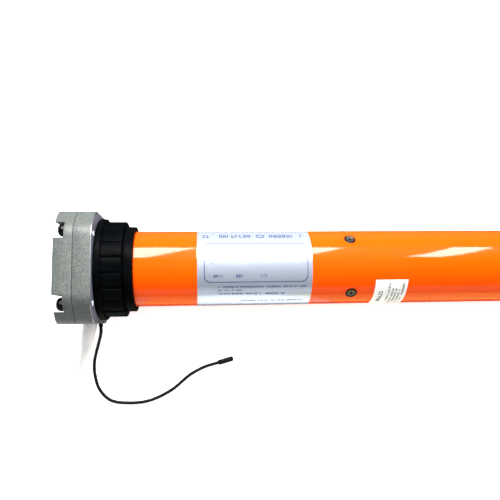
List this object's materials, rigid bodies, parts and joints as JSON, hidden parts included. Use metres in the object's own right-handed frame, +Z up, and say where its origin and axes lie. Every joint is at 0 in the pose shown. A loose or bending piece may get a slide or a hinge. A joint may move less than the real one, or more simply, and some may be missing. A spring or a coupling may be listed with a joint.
{
  "type": "roller shutter motor",
  "caption": "Tubular motor for a roller shutter: cast head, ribbed crown, painted tube, planetary gearbox, drive wheel, worm crank override, wire antenna and power cable.",
  "frame": {"origin": "on the surface the motor lies on, under its axis and the middle of its length, measured without the cords", "axes": "+X along the motor from its head to its drive wheel, +Z up, +Y towards the crank socket"},
  "size_m": [0.7655, 0.1457, 0.0644],
  "materials": {
    "cast_aluminium": "speckled die cast",
    "orange_paint": "gloss",
    "black_plastic": "satin",
    "black_die_cast": "satin",
    "silver_foil": "satin metallic foil",
    "white_paper": "matt",
    "black_steel": "blackened",
    "bright_steel": "machined",
    "bronze": "machined",
    "nylon": "moulded",
    "copper": "enamelled wire",
    "laminated_steel": "sheared laminations",
    "circuit_board": "lacquered",
    "black_rubber": "satin",
    "white_rubber": "satin"
  },
  "bodies": {
    "head": {"head_cover_casting": "cast_aluminium", "head_base_casting": "cast_aluminium", "head_screw_1": "black_steel", "head_screw_2": "black_steel", "head_screw_3": "black_steel", "head_screw_4": "black_steel", "cable_gland": "white_rubber", "antenna_grommet": "black_rubber", "crank_bush": "bronze", "motor_tube": "orange_paint", "rating_label": "silver_foil", "service_label": "white_paper", "tube_screw_1": "black_steel", "tube_screw_2": "black_steel", "tube_screw_3": "black_steel", "tube_screw_4": "black_steel", "board_carrier": "nylon", "receiver_board": "circuit_board", "run_capacitor": "nylon", "mid_bearing": "nylon", "end_bearing": "black_plastic", "antenna_wire": "black_rubber", "antenna_tip": "black_rubber", "power_cable_lead": "white_rubber", "power_cable_coil": "white_rubber", "cable_tail": "white_rubber"},
    "crank": {"crank_worm": "bright_steel"},
    "cartridge": {"worm_wheel": "bronze", "override_rod": "bright_steel", "cartridge_cap": "bright_steel", "brake_coil": "copper", "brake_spring": "bright_steel", "front_bearing": "bright_steel", "rear_bearing": "bright_steel", "stator_core": "laminated_steel", "front_winding": "copper", "rear_winding": "copper", "ring_gear": "laminated_steel"},
    "brake": {"brake_plate": "black_steel"},
    "rotor": {"rotor_shaft": "bright_steel", "rotor_core": "laminated_steel", "brake_disc": "black_rubber"},
    "carrier_1": {"carrier_1": "bright_steel"},
    "carrier_2": {"carrier_2": "bright_steel"},
    "output": {"output_shaft": "bright_steel", "drive_wheel": "black_die_cast", "drive_clip": "bright_steel"},
    "crown": {"crown_ring": "black_plastic", "crown_adapter": "black_plastic"},
    "counter": {"counter_wheel": "nylon"},
    "planet_1_1": {"planet_1_1": "nylon"},
    "planet_1_2": {"planet_1_2": "nylon"},
    "planet_1_3": {"planet_1_3": "nylon"},
    "planet_2_1": {"planet_2_1": "nylon"},
    "planet_2_2": {"planet_2_2": "nylon"},
    "planet_2_3": {"planet_2_3": "nylon"},
    "planet_3_1": {"planet_3_1": "nylon"},
    "planet_3_2": {"planet_3_2": "nylon"},
    "planet_3_3": {"planet_3_3": "nylon"}
  },
  "joints": [
    {"name": "override_turn", "type": "hinge", "parent": "head", "child": "cartridge", "pos_m": [-0.28945, 0, 0.0322], "axis": [1, 0, 0], "continuous": true},
    {"name": "crank_turn", "type": "hinge", "parent": "head", "child": "crank", "pos_m": [-0.28945, 0, 0.0162], "axis": [0, 1, 0], "continuous": true},
    {"name": "brake_release", "type": "slide", "parent": "cartridge", "child": "brake", "axis": [-1, 0, 0], "range_m": [0, 0.0009], "stiffness_N_per_m": 600, "springref_m": -0.004},
    {"name": "output_spin", "type": "hinge", "parent": "cartridge", "child": "output", "pos_m": [0.26, 0, 0.0322], "axis": [1, 0, 0], "continuous": true},
    {"name": "rotor_spin", "type": "hinge", "parent": "cartridge", "child": "rotor", "pos_m": [0, 0, 0.0322], "axis": [1, 0, 0], "continuous": true},
    {"name": "carrier_1_spin", "type": "hinge", "parent": "cartridge", "child": "carrier_1", "pos_m": [0.086, 0, 0.0322], "axis": [1, 0, 0], "continuous": true},
    {"name": "carrier_2_spin", "type": "hinge", "parent": "cartridge", "child": "carrier_2", "pos_m": [0.114, 0, 0.0322], "axis": [1, 0, 0], "continuous": true},
    {"name": "planet_1_1_spin", "type": "hinge", "parent": "carrier_1", "child": "planet_1_1", "pos_m": [0.076, 0.0108, 0.0322], "axis": [1, 0, 0], "continuous": true},
    {"name": "planet_1_2_spin", "type": "hinge", "parent": "carrier_1", "child": "planet_1_2", "pos_m": [0.076, -0.0054, 0.04155], "axis": [1, 0, 0], "continuous": true},
    {"name": "planet_1_3_spin", "type": "hinge", "parent": "carrier_1", "child": "planet_1_3", "pos_m": [0.076, -0.0054, 0.02285], "axis": [1, 0, 0], "continuous": true},
    {"name": "planet_2_1_spin", "type": "hinge", "parent": "carrier_2", "child": "planet_2_1", "pos_m": [0.101, 0.0108, 0.0322], "axis": [1, 0, 0], "continuous": true},
    {"name": "planet_2_2_spin", "type": "hinge", "parent": "carrier_2", "child": "planet_2_2", "pos_m": [0.101, -0.0054, 0.04155], "axis": [1, 0, 0], "continuous": true},
    {"name": "planet_2_3_spin", "type": "hinge", "parent": "carrier_2", "child": "planet_2_3", "pos_m": [0.101, -0.0054, 0.02285], "axis": [1, 0, 0], "continuous": true},
    {"name": "planet_3_1_spin", "type": "hinge", "parent": "output", "child": "planet_3_1", "pos_m": [0.132, 0.0108, 0.0322], "axis": [1, 0, 0], "continuous": true},
    {"name": "planet_3_2_spin", "type": "hinge", "parent": "output", "child": "planet_3_2", "pos_m": [0.132, -0.0054, 0.04155], "axis": [1, 0, 0], "continuous": true},
    {"name": "planet_3_3_spin", "type": "hinge", "parent": "output", "child": "planet_3_3", "pos_m": [0.132, -0.0054, 0.02285], "axis": [1, 0, 0], "continuous": true},
    {"name": "crown_spin", "type": "hinge", "parent": "head", "child": "crown", "pos_m": [-0.268, 0, 0.0322], "axis": [1, 0, 0], "continuous": true},
    {"name": "counter_spin", "type": "hinge", "parent": "head", "child": "counter", "pos_m": [-0.255, 0, 0.0492], "axis": [1, 0, 0], "continuous": true}
  ],
  "couplings": [
    {"joint": "crank_turn", "follows": "override_turn", "ratio": -24},
    {"joint": "rotor_spin", "follows": "output_spin", "ratio": 91.125},
    {"joint": "carrier_1_spin", "follows": "output_spin", "ratio": 20.25},
    {"joint": "carrier_2_spin", "follows": "output_spin", "ratio": 4.5},
    {"joint": "planet_1_1_spin", "follows": "output_spin", "ratio": -56.7},
    {"joint": "planet_1_2_spin", "follows": "output_spin", "ratio": -56.7},
    {"joint": "planet_1_3_spin", "follows": "output_spin", "ratio": -56.7},
    {"joint": "planet_2_1_spin", "follows": "output_spin", "ratio": -12.6},
    {"joint": "planet_2_2_spin", "follows": "output_spin", "ratio": -12.6},
    {"joint": "planet_2_3_spin", "follows": "output_spin", "ratio": -12.6},
    {"joint": "planet_3_1_spin", "follows": "output_spin", "ratio": -2.8},
    {"joint": "planet_3_2_spin", "follows": "output_spin", "ratio": -2.8},
    {"joint": "planet_3_3_spin", "follows": "output_spin", "ratio": -2.8},
    {"joint": "counter_spin", "follows": "crown_spin", "ratio": 5.25}
  ]
}
